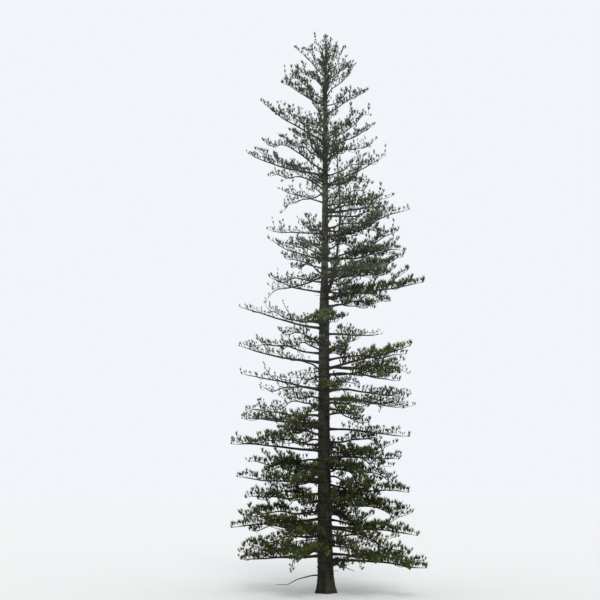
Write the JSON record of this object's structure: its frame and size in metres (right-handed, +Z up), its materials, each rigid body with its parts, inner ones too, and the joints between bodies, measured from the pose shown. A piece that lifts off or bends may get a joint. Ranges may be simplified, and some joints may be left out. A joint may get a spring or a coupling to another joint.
{
  "type": "norfolk island pine tree",
  "caption": "Tall Norfolk Island pine with a tapering trunk, a slim side stem beside it and tiers of spreading boughs set with upswept needle sprays.",
  "frame": {"origin": "middle of the flat cut under the trunk, at ground level", "axes": "+Z up along the trunk, +X to the right and +Y to the back as the picture sees the tree"},
  "size_m": [11.8849, 10.9902, 35],
  "materials": {
    "bark": "rough, ringed and flaking bark",
    "bough": "rough grey-brown bark",
    "foliage": "dark green needles, satin"
  },
  "bodies": {
    "root": {"bough_left_01": "bough", "bough_left_04": "bough", "bough_left_05": "bough", "bough_left_07": "bough", "bough_right_01": "bough", "bough_right_06": "bough", "bough_right_09": "bough", "foliage_back_02": "foliage", "foliage_back_04": "foliage", "foliage_back_06": "foliage", "foliage_back_08": "foliage", "foliage_back_10": "foliage", "foliage_back_12": "foliage", "foliage_back_14": "foliage", "foliage_back_16": "foliage", "foliage_front_01": "foliage", "foliage_front_03": "foliage", "foliage_front_05": "foliage", "foliage_front_07": "foliage", "foliage_front_09": "foliage", "foliage_front_11": "foliage", "foliage_front_13": "foliage", "foliage_front_15": "foliage", "foliage_leader": "foliage", "foliage_left_01": "foliage", "foliage_left_02": "foliage", "foliage_left_03": "foliage", "foliage_left_04": "foliage", "foliage_left_05": "foliage", "foliage_left_06": "foliage", "foliage_left_07": "foliage", "foliage_left_08": "foliage", "foliage_left_09": "foliage", "foliage_left_10": "foliage", "foliage_left_11": "foliage", "foliage_left_12": "foliage", "foliage_left_13": "foliage", "foliage_left_14": "foliage", "foliage_left_15": "foliage", "foliage_left_16": "foliage", "foliage_right_01": "foliage", "foliage_right_02": "foliage", "foliage_right_03": "foliage", "foliage_right_04": "foliage", "foliage_right_05": "foliage", "foliage_right_06": "foliage", "foliage_right_07": "foliage", "foliage_right_08": "foliage", "foliage_right_09": "foliage", "foliage_right_10": "foliage", "foliage_right_11": "foliage", "foliage_right_12": "foliage", "foliage_right_13": "foliage", "foliage_right_14": "foliage", "foliage_right_15": "foliage", "foliage_right_16": "foliage", "foliage_side_stem": "foliage", "side_stem": "bark", "trunk": "bark"}
  },
  "joints": []
}
